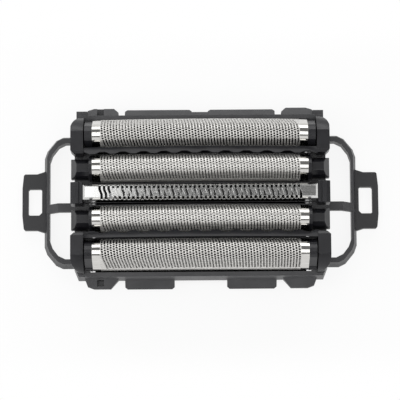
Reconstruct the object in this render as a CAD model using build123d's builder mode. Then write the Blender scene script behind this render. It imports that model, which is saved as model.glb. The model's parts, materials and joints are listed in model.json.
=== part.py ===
from build123d import *
import math
import os

# Foil head of a five-row shaver: four arched foils, a slit comb trimmer in the middle and their frame.
# X runs along the rows, +Y to the rear, +Z out of the shaving face. Millimetres.

# Gap between the holders of neighbouring rows
row_gap = 0.34

# Foil: a thin sheet bent to an arch, then crowned along its length; the outer foils reach further outwards
crest_rise = 6.9
crown_radius = 170.0
crest_radius = 1.8
crest_facets = 5
flank_lean = 22.0
foil_half_width = 2.5
outer_flare = 0.55
foil_seat = 0.85
foil_gauge = 0.15
foil_length = 39.4
foil_margin = 1.5
mesh_columns = 7
mesh_bridge = 1.1
mesh_width = 0.45

# Clearances
bond_gap = 0.05
running_gap = 0.25
side_gap = 0.15
float_travel = 0.9

# Foil holders
rail_gauge = 0.4
rail_margin = 0.12
collar_lip = 0.3
plug_depth = 1.5
outer_block_length = 1.4
inner_collar_length = 0.6
inner_block_half_width = 1.85
inner_block_setback = 3.4
inner_block_shoulder = 1.3
block_facet = 0.75
block_bevel = 1.1

# Guide tongues under the holders, each with a barb that stops its lift
tongue_gauge = 0.6
tongue_width = 2.4
tongue_length = 5.7
barb_reach = 0.85
barb_height = 0.8

# Frame
frame_top = 9.6
foil_end_gap = 0.7
rail_wall = 1.15
frame_rake = 4.0
rail_foot = 5.0
end_wall = 3.0
channel_land = 0.4
corner_cut_x = 0.8
corner_cut_y = 2.0
corner_block_setback = 0.5
corner_block_width = 2.0
corner_block_reach = 0.75
corner_block_height = 3.0

# Lugs and tabs that stand out below the frame's rails
lug_setback = 2.1
lug_length = 6.15
lug_reach = 1.6
lug_slant = 1.45
lug_corner = 0.85
lug_height = 2.6
lug_edge = 0.9
lug_rim = 0.5
lug_floor = 0.5
lug_slot_width = 1.2
lug_slot_setback = 2.8
tab_slope = 40.0
tab_length = 2.15
tab_root = 0.9
tab_embed = 0.5
tab_gauge = 0.75
tab_corner = 0.45
tab_setback = 1.15
front_tab_length = 9.15
tab_bridge_half_length = 1.5
tab_bridge_setback = 0.65

# Spring loops, latch windows and crossing arms at the two ends
loop_height = 3.0
loop_draft = 12.0
loop_setback = 0.2
loop_arm = 1.55
loop_rod = 1.1
loop_reach = 5.9
loop_corner_x = 2.7
loop_corner_y = 3.3
loop_bevel = 0.8
latch_reach = 4.08
latch_half_depth = 5.3
latch_height = 1.5
latch_bow = 0.25
window_half_depth = 2.5
window_rim = 1.13
window_root = 0.4
window_corner = 0.25
window_cut = 0.5
gusset_length = 1.3
gusset_width = 0.6
arm_place = -1.55
arm_width = 1.65
arm_top = 5.2
arm_gauge = 1.2
arm_flat = 3.1

# Skin guards
guard_width = 1.05
guard_foot_width = 0.4
guard_setback = 1.5
guard_height = 1.3
wave_pitch = 3.75
wave_height = 0.2
cheek_overhang = 0.3
cheek_outer_gap = 0.35
cheek_setback = 2.6
cheek_edge = 0.35
cheek_round_x = 1.7
cheek_round_y = 3.4
cheek_corner = 0.6
peg_gauge = 0.9
peg_width = 1.4
peg_depth = 2.0

# Trimmer
comb_half_width = 1.4
comb_setback = 1.7
comb_seat = 0.8
comb_wall = 0.2
comb_roof = 0.45
comb_edge = 0.4
comb_end_wall = 0.5
comb_margin = 2.8
slot_pitch = 0.8235
slot_width = 0.4
slot_depth = 0.95
slot_jog = 0.36
cutter_setback = 1.4
cutter_park = 1.0
cutter_roof = 0.4
cutter_wall = 0.25
cutter_height = 2.3
cutter_roof_gap = 0.08
cutter_side_gap = 0.42
cutter_slot_pitch = 1.294
cutter_slot_width = 0.5
cutter_slot_depth = 0.8
cutter_lead = 1.9
cutter_tail = 0.9
post_half_width = 2.0
post_length = 2.25
post_drop = 0.8
post_ridge = 0.25
post_step = 0.7
trimmer_rail = 0.5
trimmer_floor = 0.5
trimmer_depth = 1.7
carrier_setback = 0.7
carrier_half_width = 0.72
carrier_foot_gap = 0.65
drive_slot_width = 1.6
drive_slot_depth = 2.0
spring_setback = 2.9
spring_length = 12.0
spring_width = 1.2
spring_gauge = 0.12

# Derived places
crest_height = frame_top + crest_rise
crown_centre = crest_height - crown_radius
crown_axis = Axis((0, 0, crown_centre), (0, 1, 0))
foil_end = foil_length / 2
end_drop = crown_radius - math.sqrt(crown_radius**2 - foil_end**2)
foil_depth = crest_rise - end_drop + foil_seat
mesh_span = foil_length - 2 * foil_margin
wall_inner = foil_end + foil_end_gap
wall_outer = wall_inner + end_wall
collar_end = wall_inner - running_gap
tongue_place = wall_inner + side_gap / 2
tongue_foot = frame_top - tongue_length
barb_top = tongue_foot + barb_height
channel_back = tongue_place + tongue_gauge + running_gap
channel_foot = tongue_foot - running_gap
channel_width = tongue_width + 2 * running_gap
window_top = barb_top + float_travel + running_gap
holder_half_width = foil_half_width + rail_gauge
outer_half_width = foil_half_width + outer_flare
guide_half_width = carrier_half_width + running_gap
rail_half_width = guide_half_width + trimmer_rail
inner_row = rail_half_width + row_gap + holder_half_width
outer_row = inner_row + 2 * holder_half_width + row_gap
opening_half_depth = outer_row + outer_half_width + running_gap
half_depth = opening_half_depth + rail_wall
end_wall_half_depth = outer_row + channel_width / 2 + channel_land
loop_half_depth = end_wall_half_depth - loop_setback
lug_outer = wall_outer - lug_setback
lug_inner = lug_outer - lug_length
tab_outer = lug_inner - tab_setback
guard_row = (inner_row + outer_row) / 2
cheek_inner = foil_end + outer_block_length + running_gap
cheek_outer = wall_outer + cheek_overhang
comb_top = crest_height - comb_setback
comb_foot = frame_top + comb_seat
post_outer = cheek_outer
post_inner = post_outer - post_length
comb_length = 2 * (post_inner - bond_gap)
slotted_length = comb_length - 2 * comb_margin
cutter_length = slotted_length - 2 * cutter_setback
carrier_length = cutter_length - 2 * carrier_setback
spring_middle = collar_end - spring_setback - spring_length / 2
spring_bay_inner = spring_middle - spring_length / 2 - running_gap
trimmer_foot = comb_foot - trimmer_depth - trimmer_floor
cutter_top = comb_top - comb_roof - cutter_roof_gap
cutter_half_width = comb_half_width - comb_wall - cutter_side_gap
carrier_foot = trimmer_foot + trimmer_floor + carrier_foot_gap
facet_turn = 2 * (90 - flank_lean) / (crest_facets + 1)
crest_axis = crown_radius - crest_radius
foil_rows = {
    "rear_outer": outer_row,
    "rear_inner": inner_row,
    "front_inner": -inner_row,
    "front_outer": -outer_row,
}
half_widths = {
    "rear_outer": (outer_half_width, foil_half_width),
    "rear_inner": (foil_half_width, foil_half_width),
    "front_inner": (foil_half_width, foil_half_width),
    "front_outer": (foil_half_width, outer_half_width),
}
guided_rows = list(foil_rows.values()) + [0]


def crown_angle(place):
    """Angle about the crown axis of a place along the row, in degrees."""
    return math.degrees(math.asin(place / crown_radius))


def crown_plane(row, place):
    """Plane across a row, where local Y is the distance from the crown axis."""
    angle = math.radians(crown_angle(place))
    return Plane((0, row, crown_centre), x_dir=(0, 1, 0), z_dir=(math.cos(angle), 0, -math.sin(angle)))


def end_plane(row, place):
    """Upright plane across a row, level with the end of its foil."""
    return Plane((place, row, crown_centre - end_drop), x_dir=(0, 1, 0), z_dir=(1, 0, 0))


def crown_revolve(start, end):
    """Carries the pending sketch along the crown from one place to another."""
    revolve(axis=crown_axis, revolution_arc=crown_angle(end) - crown_angle(start))


def arch_side(inset, half_width):
    """Points down one side of a foil's arch, drawn in by inset: crest, knee of the flank, foot."""
    radius = (crest_radius - inset) / math.cos(math.radians(facet_turn / 2))
    turns = [math.radians((i + 0.5) * facet_turn) for i in range((crest_facets + 1) // 2)]
    crest = [(radius * math.sin(turn), crest_axis + radius * math.cos(turn)) for turn in turns]
    side = half_width - inset
    knee = crest[-1][1] - (side - crest[-1][0]) / math.tan(math.radians(flank_lean))
    return crest + [(side, knee), (side, crown_radius - foil_depth)]


def arch_sketch(inset, half_widths):
    """Section of a foil's arch, drawn in by inset, with the half widths of its rear and its front side."""
    rear, front = [arch_side(inset, half_width) for half_width in half_widths]
    front = [(-x, y) for x, y in reversed(front)]
    with BuildSketch() as arch:
        with BuildLine():
            Polyline(*front, *rear, close=True)
        make_face()
    return arch.sketch


def save(builder, name):
    """Labels a finished piece and writes it."""
    builder.part.label = name
    export_step(builder.part, f"parts/{name}.step")


os.makedirs("parts", exist_ok=True)

# Coarse mesh for the foils: three rows of openings along the facets of the crest
with BuildPart() as mesh:
    mesh_pitch = mesh_span / mesh_columns
    mesh_length = mesh_pitch - mesh_bridge
    for column in range(mesh_columns):
        place = column * mesh_pitch - (mesh_span - mesh_bridge) / 2
        with BuildSketch(crown_plane(0, place)):
            for turn in (-facet_turn, 0, facet_turn):
                out = crest_radius * math.sin(math.radians(turn))
                up = crest_axis + crest_radius * math.cos(math.radians(turn))
                with Locations(Location((out, up, 0), (0, 0, -turn))):
                    Rectangle(mesh_width, 4 * foil_gauge)
        crown_revolve(place, place + mesh_length)

# Guide tongue that slides in an end wall's channel, with the barb that stops its lift
with BuildPart() as tongue:
    tongue_back = tongue_place + tongue_gauge
    with BuildSketch(Plane.XZ):
        with BuildLine():
            Polyline(
                (tongue_place, frame_top + bond_gap),
                (tongue_place, tongue_foot),
                (tongue_back, tongue_foot),
                (tongue_back + barb_reach, barb_top - barb_height / 4),
                (tongue_back + barb_reach, barb_top),
                (tongue_back, barb_top),
                (tongue_back, frame_top + bond_gap),
                close=True,
            )
        make_face()
    extrude(amount=tongue_width / 2, both=True)

# Lugs on the right: plates with a sloping top and bevelled corners, more slanted on the inner side in front
rake_inset = (frame_top - rail_foot) * math.tan(math.radians(frame_rake))
lug_tip = half_depth + lug_reach
with BuildPart() as lugs:
    lug_root = opening_half_depth + running_gap
    with BuildSketch(Plane.XY.offset(rail_foot)) as lug_plan:
        for end, slant_x, slant_y in ((-1, lug_slant, lug_reach), (1, lug_corner, lug_corner)):
            with BuildLine():
                Polyline(
                    (lug_inner, end * lug_root),
                    (lug_inner, end * (lug_tip - slant_y)),
                    (lug_inner + slant_x, end * lug_tip),
                    (lug_outer - lug_reach, end * lug_tip),
                    (lug_outer - lug_corner / 2, end * (lug_tip - lug_corner / 2)),
                    (lug_outer, end * (lug_tip - lug_reach)),
                    (lug_outer, end * lug_root),
                    close=True,
                )
            make_face()
    extrude(amount=lug_height)
    with BuildSketch(Plane.YZ) as lug_section:
        with BuildLine():
            Polyline(
                (0, rail_foot),
                (lug_tip, rail_foot),
                (lug_tip, rail_foot + lug_edge),
                (half_depth - rake_inset, rail_foot + lug_height),
                (0, rail_foot + lug_height),
            )
            mirror(about=Plane.YZ)
        make_face()
    extrude(amount=lug_outer, mode=Mode.INTERSECT)

# Spring loop on the right: a D with bevelled corners, whose outer face is drafted
loop_outer = wall_outer + loop_reach
with BuildPart() as loop:
    for inset_x, inset_y, root, draft, mode in (
        (0, 0, wall_inner + end_wall / 2, loop_draft, Mode.ADD),
        (loop_rod, loop_arm, wall_outer, 0, Mode.SUBTRACT),
    ):
        side = loop_outer - inset_x
        depth = loop_half_depth - inset_y
        corner_x = loop_corner_x - inset_x / 2
        corner_y = loop_corner_y - inset_y / 3
        with BuildSketch() as outline:
            with BuildLine():
                Polyline(
                    (root, -depth),
                    (side - corner_x, -depth),
                    (side, corner_y - depth),
                    (side, depth - corner_y),
                    (side - corner_x, depth),
                    (root, depth),
                    close=True,
                )
            make_face()
            chamfer(outline.vertices().sort_by(Axis.X)[2:], loop_bevel)
        extrude(amount=loop_height, dir=(0, 0, 1), taper=draft, mode=mode)

# Post at the right end of the trimmer, grooved across its top
with BuildPart() as post:
    with BuildSketch(Plane.XZ) as post_section:
        post_top = comb_top - post_drop
        groove_in = post_inner + 2 * post_ridge
        with BuildLine():
            Polyline(
                (post_inner, frame_top),
                (post_inner, post_top),
                (groove_in, post_top),
                (groove_in, post_top - post_ridge),
                (groove_in + post_ridge, post_top - post_ridge),
                (groove_in + post_ridge, post_top),
                (post_outer - post_step, post_top),
                (post_outer - post_step, post_top - post_ridge),
                (post_outer, post_top - 2 * post_ridge),
                (post_outer, frame_top),
                close=True,
            )
        make_face()
    extrude(amount=post_half_width, both=True)
    chamfer(post.edges().filter_by(Axis.X).group_by(Axis.Z)[-1], post_ridge / 2)

# Frame: raked rails and end walls, with a channel and a stop window for every guide tongue
with BuildPart() as base:
    with BuildSketch(Plane.XY.offset(rail_foot)) as ring:
        with BuildLine():
            Polyline(
                (wall_outer, 0),
                (wall_outer, half_depth - corner_cut_y),
                (wall_outer - corner_cut_x, half_depth),
                (0, half_depth),
            )
            mirror(about=Plane.XZ)
            mirror(about=Plane.YZ)
        make_face()
    extrude(amount=frame_top - rail_foot, dir=(0, 0, 1), taper=frame_rake)
    with BuildSketch() as lower_walls:
        with Locations((wall_inner + end_wall / 2, 0), (-wall_inner - end_wall / 2, 0)):
            Rectangle(end_wall, 2 * end_wall_half_depth)
    extrude(amount=rail_foot)
    with BuildSketch() as opening:
        Rectangle(2 * wall_inner, 2 * opening_half_depth)
    extrude(amount=frame_top, mode=Mode.SUBTRACT)

    # Rear corner blocks
    block_root = opening_half_depth + running_gap
    block_depth = half_depth + corner_block_reach - block_root
    block_x = wall_outer - corner_block_setback - corner_block_width / 2
    block_y = block_root + block_depth / 2
    with BuildSketch(Plane.XY.offset(rail_foot)) as corner_blocks:
        with Locations((block_x, block_y), (-block_x, block_y)):
            Rectangle(corner_block_width, block_depth)
    extrude(amount=corner_block_height)

    # Lugs, with a pocket in the front left one and a notch in the rear left one
    add(lugs.part)
    mirror(lugs.part, about=Plane.YZ)
    with BuildSketch(Plane.XY.offset(rail_foot + lug_floor)) as lug_slots:
        slot_length = lug_reach - lug_rim
        lug_slot_x = lug_slot_setback - lug_outer
        with Locations((lug_slot_x, -half_depth - slot_length / 2)):
            Rectangle(lug_slot_width, slot_length)
        with Locations((lug_slot_x, half_depth + lug_reach / 2)):
            Rectangle(lug_slot_width, lug_reach)
    extrude(amount=lug_height, mode=Mode.SUBTRACT)

    # Tabs: sloping plates with bevelled free corners, and the lower bar between the rear ones
    for end, inner, outer, setback in (
        (-1, tab_outer - front_tab_length, tab_outer, 0),
        (1, tab_bridge_half_length, tab_outer, 0),
        (1, -tab_bridge_half_length, tab_bridge_half_length, tab_bridge_setback),
    ):
        slope = math.radians(tab_slope)
        face = Plane(
            (0, end * (half_depth - tab_root * rake_inset / (frame_top - rail_foot)), rail_foot + tab_root),
            x_dir=(-end, 0, 0),
            z_dir=(0, end * math.sin(slope), math.cos(slope)),
        )
        with BuildSketch(face) as tab:
            with BuildLine():
                free = setback - tab_length
                Polyline((inner, tab_embed), (inner, free), (outer, free), (outer, tab_embed), close=True)
            make_face()
            if not setback:
                chamfer(tab.vertices().group_by(Axis.Y)[0], tab_corner)
            mirror(about=Plane.YZ)
        extrude(amount=-tab_gauge)

    # Channels for the tongues and windows for their barbs
    with BuildSketch(Plane.XY.offset(frame_top)) as channels:
        channel_depth = channel_back - wall_inner
        for row in guided_rows:
            with Locations((wall_inner + channel_depth / 2, row), (-wall_inner - channel_depth / 2, row)):
                Rectangle(channel_depth, channel_width)
    extrude(amount=channel_foot - frame_top, mode=Mode.SUBTRACT)
    with BuildSketch(Plane.YZ) as windows:
        with Locations([(row, (channel_foot + window_top) / 2) for row in foil_rows.values()]):
            Rectangle(channel_width, window_top - channel_foot)
    extrude(amount=wall_outer + cheek_overhang, both=True, mode=Mode.SUBTRACT)
    with BuildSketch(Plane.XY.offset(channel_foot)) as trimmer_pockets:
        pocket_depth = channel_back + barb_reach - wall_inner
        with Locations((wall_inner + pocket_depth / 2, 0), (-wall_inner - pocket_depth / 2, 0)):
            Rectangle(pocket_depth, channel_width)
    extrude(amount=window_top - channel_foot, mode=Mode.SUBTRACT)

    # Pockets for the skin guards' pegs
    peg_place = channel_back + running_gap + peg_gauge / 2
    peg_rows = (guard_row, outer_row)
    with BuildSketch(Plane.XY.offset(frame_top)) as peg_pockets:
        for row in peg_rows:
            with Locations((peg_place, row), (-peg_place, row), (peg_place, -row), (-peg_place, -row)):
                Rectangle(peg_gauge + 2 * bond_gap, peg_width + 2 * bond_gap)
    extrude(amount=-peg_depth - bond_gap, mode=Mode.SUBTRACT)

    # Spring loops
    add(loop.part)
    mirror(loop.part, about=Plane.YZ)

    # Latch windows beyond the loops
    latch_outer = loop_outer + latch_reach
    latch_root = loop_outer - loop_rod / 2
    with BuildSketch() as latches:
        bow_end = latch_outer - latch_bow
        with BuildLine():
            Polyline(
                (latch_root, -latch_half_depth - gusset_width),
                (loop_outer + gusset_length, -latch_half_depth),
                (bow_end - window_corner, -latch_half_depth),
                (bow_end, window_corner - latch_half_depth),
                (latch_outer, -latch_half_depth / 2),
                (latch_outer, latch_half_depth / 2),
                (bow_end, latch_half_depth - window_corner),
                (bow_end - window_corner, latch_half_depth),
                (loop_outer + gusset_length, latch_half_depth),
                (latch_root, latch_half_depth + gusset_width),
                close=True,
            )
        make_face()
        window_inner = loop_outer + window_root
        window_outer = latch_outer - window_rim
        with BuildLine():
            Polyline(
                (window_inner, window_cut - window_half_depth),
                (window_inner + window_cut, -window_half_depth),
                (window_outer - window_corner, -window_half_depth),
                (window_outer, window_corner - window_half_depth),
                (window_outer, window_half_depth - window_corner),
                (window_outer - window_corner, window_half_depth),
                (window_inner + window_corner, window_half_depth),
                (window_inner, window_half_depth - window_corner),
                close=True,
            )
        make_face(mode=Mode.SUBTRACT)
        mirror(about=Plane.YZ)
    extrude(amount=latch_height)

    # Arms that cross the loops, level at the wall and then sloping down to the rod
    with BuildSketch(Plane.XZ.offset(-arm_place)) as arms:
        arm_knee = wall_outer + arm_flat
        arm_end = loop_outer - loop_rod * 3 / 4
        with BuildLine():
            Polyline(
                (wall_outer - window_root, arm_top),
                (arm_knee, arm_top),
                (arm_end, loop_height),
                (arm_end, loop_height - arm_gauge),
                (arm_knee - arm_gauge / 4, arm_top - arm_gauge),
                (wall_outer - window_root, arm_top - arm_gauge),
                close=True,
            )
        make_face()
        mirror(about=Plane.YZ)
    extrude(amount=arm_width / 2, both=True)
save(base, "base_frame")

# Foils
for name, row in foil_rows.items():
    with BuildPart() as foil:
        with BuildSketch(crown_plane(row, -foil_end)):
            add(arch_sketch(0, half_widths[name]))
            add(arch_sketch(foil_gauge, half_widths[name]), mode=Mode.SUBTRACT)
        crown_revolve(-foil_end, foil_end)
        with Locations((0, row, 0)):
            add(mesh.part, mode=Mode.SUBTRACT)
    save(foil, f"{name}_foil")

# Foil holders: side rails, an end block with a plug under each foil end, and guide tongues.
# A rail lies outside the foil, or inside it where the foil reaches further out.
for name, row in foil_rows.items():
    is_outer = abs(row) == outer_row
    with BuildPart() as holder:
        collar_start = foil_end + bond_gap
        collar_stop = foil_end + (outer_block_length if is_outer else inner_collar_length)
        plug_start = foil_end - plug_depth
        knee, foot = arch_side(foil_gauge + bond_gap, outer_half_width)[-2:]
        rail_height = knee[1] - foot[1] - rail_margin
        rail_centre = foot[1] + rail_height / 2
        rail_stop = (collar_start + collar_stop) / 2 * crown_radius / (crown_radius - foil_depth)
        inner_rail = outer_half_width - foil_gauge - bond_gap - rail_gauge / 2
        outer_rail = foil_half_width + rail_gauge / 2
        rear_side, front_side = half_widths[name]
        rear_edge = max(rear_side, holder_half_width)
        front_edge = max(front_side, holder_half_width)
        with BuildSketch(crown_plane(row, 0)):
            with Locations(
                (outer_rail if rear_side == foil_half_width else inner_rail, rail_centre),
                (-outer_rail if front_side == foil_half_width else -inner_rail, rail_centre),
            ):
                Rectangle(rail_gauge, rail_height)
        crown_revolve(0, rail_stop)
        with BuildSketch(end_plane(row, plug_start)):
            add(arch_sketch(foil_gauge + bond_gap, half_widths[name]))
        extrude(amount=collar_stop - plug_start)
        with BuildSketch(end_plane(row, collar_start)):
            with Locations(((rear_edge - front_edge) / 2, rail_centre)):
                Rectangle(rear_edge + front_edge, rail_height + 2 * collar_lip)
        extrude(amount=collar_stop - collar_start)
        if not is_outer:
            block_half_width = inner_block_half_width
            block_crest = crest_height - inner_block_setback
            block_start = foil_end + inner_collar_length / 2
            with BuildSketch(Plane.YZ.offset(block_start)) as block:
                with BuildLine():
                    shoulder = frame_top + inner_block_shoulder
                    Polyline(
                        (row + block_half_width, frame_top),
                        (row + block_half_width, shoulder),
                        (row + block_half_width - block_facet / 2, block_crest - block_facet),
                        (row + block_half_width - 3 / 2 * block_facet, block_crest),
                        (row - block_half_width + 3 / 2 * block_facet, block_crest),
                        (row - block_half_width + block_facet / 2, block_crest - block_facet),
                        (row - block_half_width, shoulder),
                        (row - block_half_width, frame_top),
                        close=True,
                    )
                make_face()
            extrude(amount=cheek_outer - block_start)
            with BuildSketch(Plane.XZ.offset(-row)) as bevel:
                with BuildLine():
                    Polyline(
                        (cheek_outer - block_bevel, block_crest),
                        (cheek_outer, shoulder),
                        (cheek_outer, block_crest),
                        close=True,
                    )
                make_face()
            extrude(amount=block_half_width, both=True, mode=Mode.SUBTRACT)
        # Room for the end wall, which the block rests on
        with BuildSketch(Plane.XY.offset(frame_top)) as wall_room:
            with Locations((collar_end + end_wall, row)):
                Rectangle(2 * end_wall, 2 * max(rear_edge, front_edge))
        extrude(amount=-frame_top, mode=Mode.SUBTRACT)
        with Locations((0, row, 0)):
            add(tongue.part)
        mirror(about=Plane.YZ)
    save(holder, f"{name}_holder")

# Cheek at the right end of the rear skin guard: rounded in plan, falling away to the rear
with BuildPart() as cheek:
    cheek_near = guard_row - guard_width / 2
    cheek_far = opening_half_depth + cheek_outer_gap
    cheek_top = crest_height - cheek_setback
    round_centre = (cheek_outer - cheek_round_x, cheek_far - cheek_round_y)
    with BuildSketch(Plane.XY.offset(frame_top)) as cheek_plan:
        with BuildLine():
            Polyline(
                (cheek_outer, round_centre[1]),
                (cheek_outer, cheek_near + cheek_corner),
                (cheek_outer - cheek_corner, cheek_near),
                (cheek_inner, cheek_near),
                (cheek_inner, cheek_far),
                (round_centre[0], cheek_far),
            )
            bulge = math.sqrt(0.5)
            ThreePointArc(
                (cheek_outer, round_centre[1]),
                (round_centre[0] + bulge * cheek_round_x, round_centre[1] + bulge * cheek_round_y),
                (round_centre[0], cheek_far),
            )
        make_face()
    extrude(amount=cheek_top - frame_top)
    with BuildSketch(Plane.YZ.offset(cheek_inner)) as cheek_section:
        with BuildLine():
            Polyline(
                (guard_row, cheek_top),
                (cheek_near, cheek_top - cheek_edge),
                (cheek_near, frame_top),
                (cheek_far, frame_top),
                (cheek_far, frame_top + cheek_edge),
            )
            ThreePointArc(
                (cheek_far, frame_top + cheek_edge),
                (outer_row + foil_half_width / 2, cheek_top - cheek_edge),
                (guard_row, cheek_top),
            )
        make_face()
    extrude(amount=cheek_outer - cheek_inner, mode=Mode.INTERSECT)

# Skin guards: a crowned bar with a wavy edge towards the inner foil, and a cheek at each end
with BuildPart() as rear_guard:
    bar_end = cheek_inner + cheek_edge
    with BuildSketch(crown_plane(guard_row, -bar_end)):
        bar_top = crown_radius - guard_setback
        with BuildLine():
            Polyline(
                (-guard_width / 2 - wave_height, bar_top),
                (guard_width / 2, bar_top),
                (guard_foot_width / 2, bar_top - guard_height),
                (-guard_foot_width / 2, bar_top - guard_height),
                close=True,
            )
        make_face()
    crown_revolve(-bar_end, bar_end)
    with BuildSketch() as wavy_plan:
        waves = 2 * math.ceil(bar_end / wave_pitch)
        wave_start = -waves * wave_pitch / 2
        wavy_edge = guard_row - guard_width / 2
        plain_edge = guard_row + guard_width
        wave_points = []
        for half in range(2 * waves):
            swing = -wave_height if half % 2 else wave_height
            for part in (0.25, 0.75):
                wave_points.append((wave_start + (half + part) * wave_pitch / 2, wavy_edge + swing))
        with BuildLine():
            Polyline(*wave_points, (-wave_start, plain_edge), (wave_start, plain_edge), close=True)
        make_face()
    extrude(amount=crest_height, mode=Mode.INTERSECT)
    add(cheek.part)
    mirror(cheek.part, about=Plane.YZ)
    with BuildSketch(Plane.XY.offset(frame_top)) as pegs:
        for row in peg_rows:
            with Locations((peg_place, row), (-peg_place, row)):
                Rectangle(peg_gauge, peg_width)
    extrude(amount=-peg_depth)
save(rear_guard, "rear_skin_guard")
with BuildPart() as front_guard:
    mirror(rear_guard.part, about=Plane.XZ)
save(front_guard, "front_skin_guard")

# Trimmer comb: a steel channel with jogged slits across its roof and down its sides
with BuildPart() as comb:
    with BuildSketch(Plane.YZ.offset(-comb_length / 2)) as comb_section:
        with Locations((0, (comb_top + comb_foot) / 2)):
            Rectangle(2 * comb_half_width, comb_top - comb_foot)
        chamfer(comb_section.vertices().group_by(Axis.Y)[-1], comb_edge)
    extrude(amount=comb_length)
    for end_face in (comb.faces().sort_by(Axis.X)[0], comb.faces().sort_by(Axis.X)[-1]):
        chamfer(end_face.edges().sort_by(Axis.Z)[-1], comb_edge)
    with BuildSketch(Plane.XY.offset(comb_foot)) as comb_hollow:
        Rectangle(comb_length - 2 * comb_end_wall, 2 * (comb_half_width - comb_wall))
    extrude(amount=comb_top - comb_roof - comb_foot, mode=Mode.SUBTRACT)
    slot_count = round(slotted_length / slot_pitch)
    with BuildSketch(Plane.XY.offset(comb_top)) as slits:
        with GridLocations(slot_pitch, 1, slot_count, 1):
            half = slot_width / 2
            jog = slot_jog / 2
            bend = comb_half_width / 3
            reach = comb_half_width + slot_width
            left = [(-half - jog, reach), (-half - jog, bend), (-half + jog, -bend), (-half + jog, -reach)]
            right = [(x + slot_width, y) for x, y in reversed(left)]
            Polygon(*left, *right, align=None)
    extrude(amount=-slot_depth, mode=Mode.SUBTRACT)
save(comb, "trimmer_comb")

# Trimmer cutter: a slimmer channel with straight slits and a plain left end, parked at one end of its stroke
with BuildPart() as cutter:
    cutter_middle = cutter_top - cutter_height / 2
    cutter_start = cutter_park - cutter_length / 2
    with BuildSketch(Plane.YZ.offset(cutter_start)) as cutter_section:
        with Locations((0, cutter_middle)):
            Rectangle(2 * cutter_half_width, cutter_height)
        with Locations((0, cutter_middle - cutter_roof)):
            Rectangle(2 * (cutter_half_width - cutter_wall), cutter_height, mode=Mode.SUBTRACT)
    extrude(amount=cutter_length)
    first_slot = cutter_start + cutter_lead + cutter_slot_width / 2
    slotted_run = cutter_length - cutter_lead - cutter_tail - cutter_slot_width
    with BuildSketch(Plane.XY.offset(cutter_top)) as cutter_slits:
        for slot in range(int(slotted_run / cutter_slot_pitch) + 1):
            with Locations((first_slot + slot * cutter_slot_pitch, 0)):
                Rectangle(cutter_slot_width, 2 * comb_half_width)
    extrude(amount=-cutter_slot_depth, mode=Mode.SUBTRACT)
save(cutter, "trimmer_cutter")

# Cutter carrier: a slider with a rib in the cutter's channel and the slot for the drive pin
with BuildPart() as carrier:
    cutter_foot = cutter_top - cutter_height
    rib_top = cutter_top - cutter_roof - bond_gap
    rib_half_width = cutter_half_width - cutter_wall - bond_gap
    with BuildSketch(Plane.YZ.offset(cutter_park - carrier_length / 2)) as carrier_section:
        with BuildLine():
            Polyline(
                (0, carrier_foot),
                (carrier_half_width, carrier_foot),
                (carrier_half_width, cutter_foot),
                (rib_half_width, cutter_foot),
                (rib_half_width, rib_top),
                (0, rib_top),
            )
            mirror(about=Plane.YZ)
        make_face()
    extrude(amount=carrier_length)
    with BuildSketch(Plane((cutter_park, 0, carrier_foot))) as drive_slot:
        Rectangle(drive_slot_width, 2 * comb_half_width)
    extrude(amount=drive_slot_depth, mode=Mode.SUBTRACT)
save(carrier, "cutter_carrier")

# Trimmer holder: side rails, a floor under each spring, ridged end posts and guide tongues
with BuildPart() as trimmer_holder:
    with BuildSketch(Plane.XY.offset(trimmer_foot)) as trimmer_rails:
        with Locations((collar_end / 2, 0)):
            Rectangle(collar_end, 2 * rail_half_width)
    extrude(amount=comb_foot - trimmer_foot)
    with BuildSketch(Plane.XY.offset(frame_top)) as neck:
        with Locations(((collar_end + post_outer) / 2, 0)):
            Rectangle(post_outer - collar_end, 2 * rail_half_width)
    extrude(amount=comb_foot - frame_top)
    add(post.part)
    with BuildSketch(Plane.XY.offset(trimmer_foot + trimmer_floor)) as cutter_room:
        with Locations((collar_end / 2 - comb_end_wall, 0)):
            Rectangle(collar_end, 2 * guide_half_width)
    extrude(amount=comb_foot - trimmer_foot, mode=Mode.SUBTRACT)
    with BuildSketch(Plane.XY.offset(trimmer_foot)) as drive_room:
        with Locations((spring_bay_inner / 2, 0)):
            Rectangle(spring_bay_inner, 2 * guide_half_width)
    extrude(amount=trimmer_floor, mode=Mode.SUBTRACT)
    add(tongue.part)
    mirror(about=Plane.YZ)
save(trimmer_holder, "trimmer_holder")

# Cutter springs: bowed leaves between the holder's floors and the carrier
for name, end in (("left", -1), ("right", 1)):
    with BuildPart() as spring:
        floor_top = trimmer_foot + trimmer_floor
        middle = end * spring_middle
        rise = carrier_foot_gap - bond_gap - spring_gauge
        with BuildSketch(Plane.XZ) as leaf:
            with BuildLine():
                foot_in = (middle - spring_length / 2, floor_top)
                foot_out = (middle + spring_length / 2, floor_top)
                crown = (middle, floor_top + rise)
                ThreePointArc(foot_in, crown, foot_out)
                Line(foot_out, (foot_out[0], floor_top + spring_gauge))
                ThreePointArc(
                    (foot_out[0], floor_top + spring_gauge),
                    (middle, floor_top + rise + spring_gauge),
                    (foot_in[0], floor_top + spring_gauge),
                )
                Line((foot_in[0], floor_top + spring_gauge), foot_in)
            make_face()
        extrude(amount=spring_width / 2, both=True)
    save(spring, f"{name}_cutter_spring")
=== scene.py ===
import json
import math

import bmesh
import bpy
from mathutils import Matrix, Vector

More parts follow.
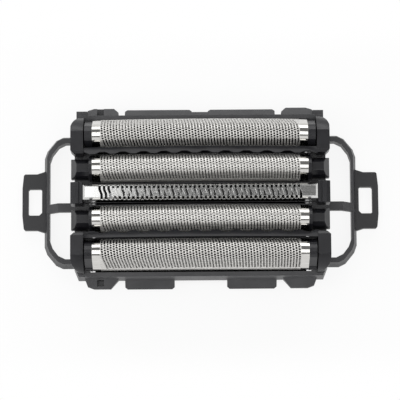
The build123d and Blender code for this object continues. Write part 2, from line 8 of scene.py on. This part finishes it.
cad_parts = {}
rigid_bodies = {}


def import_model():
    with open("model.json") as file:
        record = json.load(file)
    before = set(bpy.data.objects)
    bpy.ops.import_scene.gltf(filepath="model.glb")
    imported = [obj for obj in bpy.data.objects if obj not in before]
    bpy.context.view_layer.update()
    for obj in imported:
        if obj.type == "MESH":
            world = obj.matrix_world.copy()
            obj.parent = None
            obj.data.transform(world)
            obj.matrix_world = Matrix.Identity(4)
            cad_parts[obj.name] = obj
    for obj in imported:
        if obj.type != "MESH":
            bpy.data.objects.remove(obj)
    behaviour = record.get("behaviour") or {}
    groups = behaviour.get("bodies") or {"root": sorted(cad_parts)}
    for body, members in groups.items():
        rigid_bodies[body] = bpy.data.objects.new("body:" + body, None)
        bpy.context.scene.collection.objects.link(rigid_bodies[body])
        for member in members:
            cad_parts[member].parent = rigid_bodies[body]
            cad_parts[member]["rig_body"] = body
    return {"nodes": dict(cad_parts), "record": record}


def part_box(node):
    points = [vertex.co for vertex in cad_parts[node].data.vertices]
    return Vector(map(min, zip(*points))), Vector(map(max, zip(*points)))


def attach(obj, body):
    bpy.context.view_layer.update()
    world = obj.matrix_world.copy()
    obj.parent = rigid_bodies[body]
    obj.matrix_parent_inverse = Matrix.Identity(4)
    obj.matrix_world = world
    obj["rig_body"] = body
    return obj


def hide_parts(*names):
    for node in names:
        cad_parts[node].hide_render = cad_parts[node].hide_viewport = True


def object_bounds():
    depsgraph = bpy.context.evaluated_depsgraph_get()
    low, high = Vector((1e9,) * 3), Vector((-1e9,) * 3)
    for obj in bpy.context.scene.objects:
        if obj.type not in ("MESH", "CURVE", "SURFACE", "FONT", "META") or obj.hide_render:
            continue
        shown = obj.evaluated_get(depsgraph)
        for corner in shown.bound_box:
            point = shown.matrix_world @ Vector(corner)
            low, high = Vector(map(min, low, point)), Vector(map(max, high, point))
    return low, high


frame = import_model()
cad_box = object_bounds()
nodes = frame["nodes"]
MM = 0.001

# Camera, fitted to the photograph: nearly overhead, leaning to the front; lengths in millimetres
camera_tilt = 8.0
camera_roll = 0.4
camera_distance = 400.0
camera_target = (-0.07, -1.55, 14.1)
camera_near = 10.0
pixels_per_mm = 5.5
image_pixels = 400
sensor_width = 36.0

# Foil sheet: lengths in millimetres, then shares and counts
crown_radius = 170.0
crest_radius = 1.8
flank_lean = math.radians(22.0)
foil_gauge = 0.07
perforated_half = 18.2
column_pitch = 0.551
column_slant = 0.09
end_support = 0.03
hole_step = 0.245
hole_margin = 0.2
rim_drop = 0.03
slot_bridge = 0.05
slot_shoulder = 0.7
round_share = 0.4
hole_squareness = 0.45
hole_sides = 16
foot_steps = 4

# Openings of the outer and the inner foils: radii along the row and the section, and where the slots begin
outer_openings = {
    "crest_hole": (0.19, 0.185),
    "flank_hole": (0.15, 0.22),
    "slot_start": 1.45,
    "slot_half": 0.115,
}
inner_openings = {
    "crest_hole": (0.145, 0.145),
    "flank_hole": (0.14, 0.22),
    "slot_start": 1.0,
    "slot_half": 0.075,
}

# Edges that the CAD nodes get, and how far the slit steel is thinned, in millimetres
moulded_edge = 0.2
slit_edge = 0.03
slit_thinning = {"trimmer_comb": 0.035, "trimmer_cutter": 0.08}
edge_angle = math.radians(30)
flat_angle = math.radians(0.5)
weld_gap = 0.001

# Plastic: noise features to a metre, spread of the roughness, and the heights over which painted shade
# darkens its low parts, in mm
drift_scale = 260.0
gloss_scale = 900.0
gloss_spread = 0.06
grain_strength = 0.35
low_shade_span = (2.2, 1.5)

# Steel: drawn lines to a metre, their depth in millimetres, the downward slopes over which painted shade
# darkens faces that look down, and the polish of the foils' plain ends
line_scale = 4000.0
line_spread = 0.05
line_strength = 0.15
line_depth = 0.01
down_span = (-0.05, -0.25)
polish_blend = 0.05
polished_roughness = 0.1

# Studio: light of the dome, the half sizes and height of the dark card that paints shade under the foils, and
# the floor's glow beside the head
dome_light = 0.32
dome_horizon = 1.0
dome_overhead = 0.22
dome_span = (0.56, 0.7)
shade_card_half = (19.5, 14.1)
shade_card_height = 6.0
shade_card_scale = 500.0
floor_half = 1500.0
floor_gap = 0.02
floor_scale = 40.0
sheet_roughness = 0.9
glow_half = (20.4, 15.0)
near_span = (0.7, 1.05)
near_glow = (0.1, 0.88)
far_span = (1.7, 2.3)
far_glow = (0.0, 0.12)

materials = {}


def new_material(name):
    """Starts the material of that name; returns its node tree and its Principled shader."""
    materials[name] = bpy.data.materials.new(name)
    materials[name].use_nodes = True
    tree = materials[name].node_tree
    return tree, tree.nodes["Principled BSDF"]


def feed(tree, socket, value):
    """Gives a socket its value: another socket, a number, a vector or a colour."""
    if isinstance(value, bpy.types.NodeSocket):
        tree.links.new(value, socket)
    elif socket.type == "RGBA":
        socket.default_value = (*value, 1)
    else:
        socket.default_value = value


def noise(tree, scale, detail=2.0, stretch=(1, 1, 1)):
    """Noise on the object's own coordinates, with features about 1/scale metres wide."""
    coordinates = tree.nodes.new("ShaderNodeTexCoord")
    mapping = tree.nodes.new("ShaderNodeMapping")
    texture = tree.nodes.new("ShaderNodeTexNoise")
    feed(tree, mapping.inputs["Vector"], coordinates.outputs["Object"])
    feed(tree, mapping.inputs["Scale"], stretch)
    feed(tree, texture.inputs["Vector"], mapping.outputs["Vector"])
    feed(tree, texture.inputs["Scale"], scale)
    feed(tree, texture.inputs["Detail"], detail)
    return texture.outputs["Fac"]


def ramp(tree, factor, dark, light, span=(0.3, 0.7)):
    """Colour that goes from dark to light over a span of a factor."""
    node = tree.nodes.new("ShaderNodeValToRGB")
    for element, place, colour in zip(node.color_ramp.elements, span, (dark, light)):
        element.position = place
        element.color = (*colour, 1)
    feed(tree, node.inputs["Fac"], factor)
    return node.outputs["Color"]


def mapped(tree, value, span, result=(0.0, 1.0), curve="SMOOTHSTEP"):
    """Maps a span of a value onto a result, and keeps the result's ends beyond it."""
    node = tree.nodes.new("ShaderNodeMapRange")
    node.interpolation_type = curve
    for name, number in zip(("From Min", "From Max", "To Min", "To Max"), (*span, *result)):
        feed(tree, node.inputs[name], number)
    feed(tree, node.inputs["Value"], value)
    return node.outputs["Result"]


def uneven(tree, factor, level, spread):
    """Level that a factor spreads to both sides."""
    return mapped(tree, factor, (0, 1), (level - spread, level + spread), "LINEAR")


def blended(tree, factor, first, second, colours=False):
    """Goes from first to second with a factor; each is a socket or a constant, all numbers or all colours."""
    node = tree.nodes.new("ShaderNodeMix")
    node.data_type = "RGBA" if colours else "FLOAT"
    # The node has sockets of one name for each data type, so these are told apart by their places
    first_place, second_place, result_place = (6, 7, 2) if colours else (2, 3, 0)
    feed(tree, node.inputs["Factor"], factor)
    feed(tree, node.inputs[first_place], first)
    feed(tree, node.inputs[second_place], second)
    return node.outputs[result_place]


def arithmetic(tree, operation, *operands):
    """Result of a Math node; each operand is a socket or a number."""
    node = tree.nodes.new("ShaderNodeMath")
    node.operation = operation
    for socket, operand in zip(node.inputs, operands):
        feed(tree, socket, operand)
    return node.outputs["Value"]


def axis(tree, vector, letter):
    """One coordinate of a vector."""
    split = tree.nodes.new("ShaderNodeSeparateXYZ")
    feed(tree, split.inputs["Vector"], vector)
    return split.outputs[letter]


def object_axis(tree, letter):
    """One of the object's own coordinates, in metres."""
    return axis(tree, tree.nodes.new("ShaderNodeTexCoord").outputs["Object"], letter)


def distance_out(tree, letter):
    """Distance from the object's middle along one of its axes, in metres."""
    return arithmetic(tree, "ABSOLUTE", object_axis(tree, letter))


def bump(tree, height, strength, depth):
    """Bump of a height factor, with its depth in millimetres."""
    node = tree.nodes.new("ShaderNodeBump")
    feed(tree, node.inputs["Strength"], strength)
    feed(tree, node.inputs["Distance"], depth * MM)
    feed(tree, node.inputs["Height"], height)
    return node.outputs["Normal"]


def moulded_plastic(name, dark, light, roughness, grain, grain_depth, gloss_level=0.5, painted_low_shade=None):
    """Satin moulded plastic: fine eroded grain, soft colour drift and uneven gloss.

    grain and grain_depth are in millimetres, and the optional darker colour at the end is painted shade on
    its low parts.
    """
    tree, shader = new_material(name)
    colour = ramp(tree, noise(tree, drift_scale, detail=3.0), dark, light)
    # Painted shade: the plastic gets darker towards the bottom, standing in for less light reaching its low
    # parts
    if painted_low_shade:
        low_shade_mask = mapped(tree, object_axis(tree, "Z"), [height * MM for height in low_shade_span])
        colour = blended(tree, low_shade_mask, colour, painted_low_shade, colours=True)
    rough = uneven(tree, noise(tree, gloss_scale, detail=4.0), roughness, gloss_spread)
    grain_height = noise(tree, 1 / (grain * MM))
    feed(tree, shader.inputs["Base Color"], colour)
    feed(tree, shader.inputs["Specular IOR Level"], gloss_level)
    feed(tree, shader.inputs["Roughness"], rough)
    feed(tree, shader.inputs["Normal"], bump(tree, grain_height, grain_strength, grain_depth))


def drawn_steel(name, dark, light, roughness, stretch, metallic=1.0, painted_underside_shade=None, polished_from=None):
    """Bright steel with fine drawn lines along one direction.

    The dark colour given for faces that look down is painted shade, and polished_from is the distance from
    the middle, in millimetres, beyond which the steel is polished.
    """
    tree, shader = new_material(name)
    lines = noise(tree, line_scale, detail=3.0, stretch=stretch)
    colour = ramp(tree, lines, dark, light)
    rough = uneven(tree, lines, roughness, line_spread)
    # Painted shade: faces that look down are darkened, standing in for the shade inside the head
    if painted_underside_shade:
        surface = tree.nodes.new("ShaderNodeNewGeometry")
        looks_down = mapped(tree, axis(tree, surface.outputs["True Normal"], "Z"), down_span)
        colour = blended(tree, looks_down, colour, painted_underside_shade, colours=True)
    if polished_from:
        polish_span = (polished_from * MM, (polished_from + polish_blend) * MM)
        polish = mapped(tree, distance_out(tree, "X"), polish_span)
        rough = blended(tree, polish, rough, polished_roughness)
        metallic = blended(tree, polish, metallic, 1.0)
    feed(tree, shader.inputs["Base Color"], colour)
    feed(tree, shader.inputs["Metallic"], metallic)
    feed(tree, shader.inputs["Roughness"], rough)
    feed(tree, shader.inputs["Normal"], bump(tree, lines, line_strength, line_depth))


moulded_plastic(
    "frame_plastic",
    dark=(0.042, 0.042, 0.045),
    light=(0.058, 0.058, 0.061),
    roughness=0.45,
    grain=0.12,
    grain_depth=0.01,
    gloss_level=0.4,
    # painted shade on the frame's low parts
    painted_low_shade=(0.026, 0.026, 0.028),
)
moulded_plastic(
    "black_plastic",
    dark=(0.008, 0.008, 0.01),
    light=(0.014, 0.014, 0.017),
    roughness=0.34,
    grain=0.1,
    grain_depth=0.008,
    gloss_level=0.4,
)
moulded_plastic(
    "carrier_plastic",
    dark=(0.02, 0.02, 0.02),
    light=(0.03, 0.03, 0.03),
    roughness=0.4,
    grain=0.12,
    grain_depth=0.01,
)
drawn_steel(
    "foil_steel",
    dark=(0.58, 0.57, 0.55),
    light=(0.68, 0.67, 0.645),
    roughness=0.27,
    stretch=(0.1, 1, 1),
    metallic=0.58,
    # painted shade on the faces that look down
    painted_underside_shade=(0.04, 0.04, 0.04),
    polished_from=perforated_half,
)
drawn_steel(
    "comb_steel", dark=(0.56, 0.56, 0.55), light=(0.68, 0.68, 0.67), roughness=0.13, stretch=(0.05, 1, 1)
)
drawn_steel(
    "spring_steel", dark=(0.4, 0.4, 0.41), light=(0.52, 0.52, 0.52), roughness=0.25, stretch=(0.05, 1, 1)
)


def slot_of(node):
    """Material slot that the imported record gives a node."""
    return next(part["material_slot"] for part in frame["record"]["subparts"] if part["node"] == node)


def soften_edges(node, width, thinning=0.0):
    """Rounds a CAD node's sharp edges a little, so that they catch light; thins its walls first."""
    piece = nodes[node]
    weld = piece.modifiers.new("weld", "WELD")
    weld.merge_threshold = weld_gap * MM
    flat = piece.modifiers.new("flat", "DECIMATE")
    flat.decimate_type = "DISSOLVE"
    flat.angle_limit = flat_angle
    if thinning:
        thin = piece.modifiers.new("thin", "DISPLACE")
        thin.direction = "NORMAL"
        thin.mid_level = 0.0
        thin.strength = -thinning * MM
    edge = piece.modifiers.new("edge", "BEVEL")
    edge.width = width * MM
    edge.segments = 2
    edge.limit_method = "ANGLE"
    edge.angle_limit = edge_angle
    edge.use_clamp_overlap = True
    edge.harden_normals = True


# Foil section and crown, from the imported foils
low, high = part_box("rear_inner_foil")
inner_half_width = (high.y - low.y) / 2 / MM
crown_centre = high.z / MM - crown_radius
crown_end = math.asin(high.x / MM / crown_radius)
foil_depth = crown_radius - (low.z / MM - crown_centre) / math.cos(crown_end)
crest_arc = crest_radius * (math.pi / 2 - flank_lean)
crest_out = crest_radius * math.cos(flank_lean)
crest_drop = crest_radius * (1 - math.sin(flank_lean))
low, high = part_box("rear_outer_foil")
outer_half_width = (high.y - low.y) / MM - inner_half_width

# Columns of the sheet along its row: plain ends, and between them one column of openings to each pitch
sheet_end = crown_radius * crown_end
hole_columns = 2 * round(perforated_half / column_pitch)
holed_half = hole_columns * column_pitch / 2
end_margins = (0.0, end_support, (sheet_end - holed_half) / 2)
first_column = len(end_margins)
columns = [-sheet_end + margin for margin in end_margins]
columns += [-holed_half + column_pitch * i for i in range(hole_columns + 1)]
columns += [sheet_end - margin for margin in reversed(end_margins)]


def flank_length(half_width):
    """Length of the sloping flank, from the end of the crest's arc to the upright foot."""
    return (half_width - crest_out) / math.sin(flank_lean)


def foil_section(along, half_width):
    """Distance out, drop and normal of one side of the section, at a distance along it from the crest."""
    flank = flank_length(half_width)
    if along <= crest_arc:
        turn = along / crest_radius
        normal = (math.sin(turn), math.cos(turn))
        return crest_radius * math.sin(turn), crest_radius * (1 - math.cos(turn)), normal
    if along <= crest_arc + flank:
        rest = along - crest_arc
        normal = (math.cos(flank_lean), math.sin(flank_lean))
        return crest_out + rest * math.sin(flank_lean), crest_drop + rest * math.cos(flank_lean), normal
    rest = along - crest_arc - flank
    return half_width, crest_drop + flank * math.cos(flank_lean) + rest, (1.0, 0.0)


def section_rows(half_widths):
    """Places across the sheet, from rear foot to front foot, and the first and last that openings reach."""
    counts, feet = [], []
    for half_width in half_widths:
        flank = flank_length(half_width)
        counts.append(int((crest_arc + flank - hole_margin) / hole_step))
        feet.append(crest_arc + flank + foil_depth - crest_drop - flank * math.cos(flank_lean))
    rear_edge, front_edge = [count * hole_step for count in counts]
    rows = [-feet[0] + (feet[0] - rear_edge) * i / foot_steps for i in range(foot_steps)]
    rows += [hole_step * k for k in range(-counts[0], counts[1] + 1)]
    rows += [front_edge + (feet[1] - front_edge) * (i + 1) / foot_steps for i in range(foot_steps)]
    return rows, foot_steps, foot_steps + sum(counts)


def plain_share(place):
    """Share of the way from the perforated length to the sheet's end."""
    return max((abs(place) - holed_half) / (sheet_end - holed_half), 0.0)


def squarish(ratio, share):
    """Sine or cosine of a rounded rectangle's outline at share 1, and of a circle at share 0."""
    return math.copysign(abs(ratio) ** (1 - hole_squareness * share), ratio)


class FoilSheet:
    """Mesh of one crowned foil, with an outer and an inner face, its holes, its slots and its edge walls."""

    sides = ("outer", "inner")

    def __init__(self, middle, half_widths):
        self.middle = middle
        self.half_widths = half_widths
        self.rows, self.first_row, self.last_row = section_rows(half_widths)
        self.mesh = bmesh.new()
        self.grid = {}
        for side, inset in zip(self.sides, (0.0, foil_gauge)):
            for i, place in enumerate(columns):
                for k, along in enumerate(self.rows):
                    self.grid[side, i, k] = self.vertex(place, along, inset)

    def vertex(self, place, along, inset):
        """Vertex inset below the outer face, at a place along the row and along the section.

        The section runs from the crest, positive to the front. Columns slant with it, and beyond the
        perforated length they come to follow the sheet's upright end.
        """
        plain = plain_share(place)
        sign = 1 if along > 0 else -1
        out, drop, normal = foil_section(abs(along), self.half_widths[0 if sign < 0 else 1])
        out -= inset * normal[0]
        radius = crown_radius - drop - inset * normal[1]
        turn = (place + column_slant * along * (1 - plain)) / crown_radius
        x = (radius + plain * (crown_radius - radius)) * math.sin(turn)
        z = crown_centre + radius * math.cos(turn)
        return self.mesh.verts.new(Vector((x, self.middle - sign * out, z)) * MM)

    def face(self, side, verts):
        """Face of the sheet's outer or inner side."""
        self.mesh.faces.new(verts if side == "outer" else verts[::-1])

    def quad(self, i, k):
        """Plain patch of the sheet."""
        for side in self.sides:
            corners = ((i, k), (i, k + 1), (i + 1, k + 1), (i + 1, k))
            self.face(side, [self.grid[side, *corner] for corner in corners])

    def rim(self, outline):
        """Vertices of an opening's outline on both sides of the sheet, and the wall between them."""
        rings = {}
        for side, inset in zip(self.sides, (rim_drop, foil_gauge)):
            rings[side] = [self.vertex(place, along, inset) for place, along in outline]
        outer, inner = rings["outer"], rings["inner"]
        for n in range(len(outline)):
            self.mesh.faces.new([outer[n], outer[n - 1], inner[n - 1], inner[n]])
        return rings

    def hole(self, i, k, crest_hole, flank_hole):
        """Hole round one point between two columns; round on the crest and squarer on the flanks."""
        centre = (columns[i] + columns[i + 1]) / 2
        middle = self.rows[k]
        share = min(max((abs(middle) / crest_arc - round_share) / (1 - round_share), 0.0), 1.0)
        across, along = [a + (b - a) * share for a, b in zip(crest_hole, flank_hole)]
        turns = [2 * math.pi * n / hole_sides for n in range(hole_sides)]
        outline_across = [centre + across * squarish(math.cos(turn), share) for turn in turns]
        outline_along = [middle + along * squarish(math.sin(turn), share) for turn in turns]
        rings = self.rim(list(zip(outline_across, outline_along)))
        corners = [(i + 1, k), (i + 1, k + 1), (i, k + 1), (i, k), (i, k - 1), (i + 1, k - 1)]
        # Stretches of the outline that face the patch's six sides, in eighths of a turn
        stops = [hole_sides * eighths // 8 for eighths in (0, 1, 3, 4, 5, 7, 8)]
        for side, ring in rings.items():
            for n, start in enumerate(corners):
                stop = corners[(n + 1) % len(corners)]
                arc = [ring[m % hole_sides] for m in range(stops[n], stops[n + 1] + 1)]
                self.face(side, [self.grid[side, *stop], self.grid[side, *start], *arc])

    def slot(self, i, k0, k1, half):
        """Long slot between two columns, from one row to another, with tapered ends."""
        centre = (columns[i] + columns[i + 1]) / 2
        inside = range(k0 + 1, k1)
        count = len(inside)
        shoulder = slot_shoulder * half
        taper = half - shoulder
        head = self.rows[k0] + slot_bridge
        tail = self.rows[k1] - slot_bridge
        rings = self.rim([
            (centre, head),
            (centre + shoulder, head + taper),
            *((centre + half, self.rows[k]) for k in inside),
            (centre + shoulder, tail - taper),
            (centre, tail),
            (centre - shoulder, tail - taper),
            *((centre - half, self.rows[k]) for k in reversed(inside)),
            (centre - shoulder, head + taper),
        ])
        for side, ring in rings.items():
            head_tip, head_right, head_left = ring[0], ring[1], ring[-1]
            tail_right, tail_tip, tail_left = ring[2 + count : 5 + count]
            right = ring[2 : 2 + count]
            left = ring[5 + count : -1][::-1]
            near = [self.grid[side, i, k] for k in range(k0, k1 + 1)]
            far = [self.grid[side, i + 1, k] for k in range(k0, k1 + 1)]
            for n in range(count - 1):
                self.face(side, [near[n + 1], near[n + 2], left[n + 1], left[n]])
                self.face(side, [right[n], right[n + 1], far[n + 2], far[n + 1]])
            self.face(side, [near[0], near[1], left[0], head_left, head_tip])
            self.face(side, [far[0], head_tip, head_right, right[0], far[1]])
            self.face(side, [near[0], head_tip, far[0]])
            self.face(side, [tail_tip, tail_left, left[-1], near[-2], near[-1]])
            self.face(side, [far[-2], right[-1], tail_right, tail_tip, far[-1]])
            self.face(side, [far[-1], tail_tip, near[-1]])

    def column(self, i, slotted, crest_hole, flank_hole, slot_start, slot_half):
        """One column of the sheet, with its openings if it lies in the perforated length."""
        first, last = self.first_row, self.last_row
        holes, slots = [], []
        if first_column <= i < first_column + hole_columns:
            stagger = (i - first_column) % 2
            holes = list(range(first + 1 + stagger, last, 2))
            on_crest = [k for k in holes if abs(self.rows[k]) < slot_start]
            if slotted[0]:
                slots.append((first, on_crest[0] - 1))
                holes = [k for k in holes if k >= on_crest[0]]
            if slotted[1]:
                slots.append((on_crest[-1] + 1, last))
                holes = [k for k in holes if k <= on_crest[-1]]
        open_rows = {row for k in holes for row in (k - 1, k)}
        open_rows |= {row for k0, k1 in slots for row in range(k0, k1)}
        for k in range(len(self.rows) - 1):
            if k not in open_rows:
                self.quad(i, k)
        for k in holes:
            self.hole(i, k, crest_hole, flank_hole)
        for k0, k1 in slots:
            self.slot(i, k0, k1, slot_half)

    def edge_walls(self):
        """Flat walls round the sheet, between its two sides; returns their faces."""
        last_i, last_k = len(columns) - 1, len(self.rows) - 1
        border = [(i, 0) for i in range(last_i)] + [(last_i, k) for k in range(last_k)]
        border += [(i, last_k) for i in range(last_i, 0, -1)] + [(0, k) for k in range(last_k, 0, -1)]
        walls = []
        for n, corner in enumerate(border):
            before = border[n - 1]
            corners = (("outer", *before), ("outer", *corner), ("inner", *corner), ("inner", *before))
            walls.append(self.mesh.faces.new([self.grid[key] for key in corners]))
        return walls


def perforated_foil(name, node, half_widths, slotted, openings):
    """Foil with its staggered openings, in place of a CAD foil.

    half_widths are those of the rear and the front side, and slotted says for each whether its flank has long
    slots in place of holes.
    """
    low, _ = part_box(node)
    sheet = FoilSheet(low.y / MM + half_widths[1], half_widths)
    for i in range(len(columns) - 1):
        sheet.column(i, slotted, **openings)
    walls = set(sheet.edge_walls())
    bmesh.ops.recalc_face_normals(sheet.mesh, faces=sheet.mesh.faces)
    for face in sheet.mesh.faces:
        face.smooth = face not in walls
    data = bpy.data.meshes.new(name)
    sheet.mesh.to_mesh(data)
    sheet.mesh.free()
    piece = bpy.data.objects.new(name, data)
    bpy.context.scene.collection.objects.link(piece)
    data.materials.append(materials["foil_steel"])
    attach(piece, nodes[node]["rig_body"])
    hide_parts(node)


# Materials and edges of the CAD nodes
for node, piece in nodes.items():
    piece.data.materials.clear()
    piece.data.materials.append(materials[slot_of(node)])
    if node in slit_thinning:
        soften_edges(node, slit_edge, slit_thinning[node])
    elif not node.endswith(("_foil", "_spring", "_carrier")):
        soften_edges(node, moulded_edge)

# Rear and front side of each foil; the flanks that face a neighbour have slots
for place, half_widths, slotted, openings in (
    ("rear_outer", (outer_half_width, inner_half_width), (False, True), outer_openings),
    ("front_outer", (inner_half_width, outer_half_width), (True, False), outer_openings),
    ("rear_inner", (inner_half_width, inner_half_width), (True, True), inner_openings),
    ("front_inner", (inner_half_width, inner_half_width), (True, True), inner_openings),
):
    perforated_foil(f"{place}_mesh", f"{place}_foil", half_widths, slotted, openings)


def softbox(name, place, target, size, radiance):
    """Soft light of even radiance at a place, facing a target; its size is that along and across the rows."""
    length, width = size
    light = bpy.data.lights.new(name, "AREA")
    light.shape = "RECTANGLE"
    light.size = length
    light.size_y = width
    light.energy = radiance * math.pi * width * length
    lamp = bpy.data.objects.new(name, light)
    lamp.location = place
    lamp.rotation_euler = (Vector(place) - Vector(target)).to_track_quat("Z", "Y").to_euler()
    lamp.visible_camera = False
    bpy.context.scene.collection.objects.link(lamp)


def over(angle, distance):
    """Place in the upright plane across the rows, turned from overhead towards the rear."""
    turn = math.radians(angle)
    return (0, distance * math.sin(turn), distance * math.cos(turn))


# Lamps, in metres; the left card is what the left end of the comb mirrors
head = (0, 0, 0.015)
strip = (0.9, 0.36)
softbox("overhead_softbox", over(-14, 0.6), head, strip, 1.9)
softbox("rear_softbox", over(63, 0.7), head, strip, 2.4)
softbox("left_softbox", (-0.15, -0.03, 0.12), head, (0.1, 0.12), 1.6)
softbox("left_card", (-0.165, 0.085, 0.6), (-0.165, 0.085, 0), (0.25, 0.07), 2.0)


def studio_dome():
    """World that is white to the camera, and to gloss white round the horizon and grey overhead."""
    world = bpy.data.worlds.new("studio")
    bpy.context.scene.world = world
    world.use_nodes = True
    tree = world.node_tree
    path = tree.nodes.new("ShaderNodeLightPath").outputs
    seen = arithmetic(tree, "MAXIMUM", path["Is Camera Ray"], path["Is Transmission Ray"])
    plain = blended(tree, seen, dome_light, 1.0)
    sky = tree.nodes.new("ShaderNodeTexCoord").outputs["Generated"]
    dome = mapped(tree, axis(tree, sky, "Z"), dome_span, (dome_horizon, dome_overhead))
    background = tree.nodes["Background"]
    feed(tree, background.inputs["Color"], (1, 1, 1))
    feed(tree, background.inputs["Strength"], blended(tree, path["Is Glossy Ray"], plain, dome))


def studio_sheet(name, half_size, height, scale, dark, light):
    """Flat sheet of the studio, in millimetres, not part of the head; returns its node tree and shader."""
    half_x, half_y = half_size
    data = bpy.data.meshes.new(name)
    corners = [(-half_x, -half_y, 0), (half_x, -half_y, 0), (half_x, half_y, 0), (-half_x, half_y, 0)]
    data.from_pydata([Vector(corner) * MM for corner in corners], [], [(0, 1, 2, 3)])
    sheet = bpy.data.objects.new(name, data)
    sheet.location.z = height * MM
    bpy.context.scene.collection.objects.link(sheet)
    tree, shader = new_material(name)
    data.materials.append(materials[name])
    feed(tree, shader.inputs["Base Color"], ramp(tree, noise(tree, scale), (dark,) * 3, (light,) * 3))
    feed(tree, shader.inputs["Roughness"], sheet_roughness)
    feed(tree, shader.inputs["Specular IOR Level"], 0.0)
    return tree, shader


def glow_beside_head(tree, shader):
    """Makes the floor show white beside the head; under the head and near it the floor keeps the shadow."""
    half_x, half_y = [half * MM for half in glow_half]
    across = arithmetic(tree, "DIVIDE", distance_out(tree, "X"), half_x)
    deep = arithmetic(tree, "DIVIDE", distance_out(tree, "Y"), half_y)
    distance = arithmetic(tree, "MAXIMUM", across, deep)
    near = mapped(tree, distance, near_span, near_glow)
    far = mapped(tree, distance, far_span, far_glow)
    path = tree.nodes.new("ShaderNodeLightPath").outputs
    rays = path["Is Camera Ray"]
    for kind in ("Is Glossy Ray", "Is Transmission Ray"):
        rays = arithmetic(tree, "MAXIMUM", rays, path[kind])
    white = tree.nodes.new("ShaderNodeEmission")
    feed(tree, white.inputs["Strength"], 1.0)
    mix = tree.nodes.new("ShaderNodeMixShader")
    feed(tree, mix.inputs["Fac"], arithmetic(tree, "MULTIPLY", rays, arithmetic(tree, "ADD", near, far)))
    feed(tree, mix.inputs[1], shader.outputs["BSDF"])
    feed(tree, mix.inputs[2], white.outputs["Emission"])
    feed(tree, tree.nodes["Material Output"].inputs["Surface"], mix.outputs["Shader"])


studio_dome()

# The dark card under the foils is painted shade, standing in for the shade inside the head, so that their
# holes read dark
studio_sheet("painted_shade_card", shade_card_half, shade_card_height, shade_card_scale, 0.008, 0.014)
floor_height = cad_box[0].z / MM - floor_gap
glow_beside_head(*studio_sheet("floor", (floor_half, floor_half), floor_height, floor_scale, 0.91, 0.93))

camera_data = bpy.data.cameras.new("camera")
camera_data.sensor_width = sensor_width
camera_data.lens = sensor_width * pixels_per_mm * camera_distance / image_pixels
camera_data.clip_start = camera_near * MM
camera = bpy.data.objects.new("camera", camera_data)
tilt = math.radians(camera_tilt)
back = Vector((0, -math.sin(tilt), math.cos(tilt)))
camera.location = (Vector(camera_target) + back * camera_distance) * MM
upright = back.to_track_quat("Z", "Y").to_matrix().to_4x4()
camera.rotation_euler = (upright @ Matrix.Rotation(math.radians(-camera_roll), 4, "Z")).to_euler()
bpy.context.scene.collection.objects.link(camera)
bpy.context.scene.camera = camera
bpy.context.scene.view_settings.view_transform = "Standard"
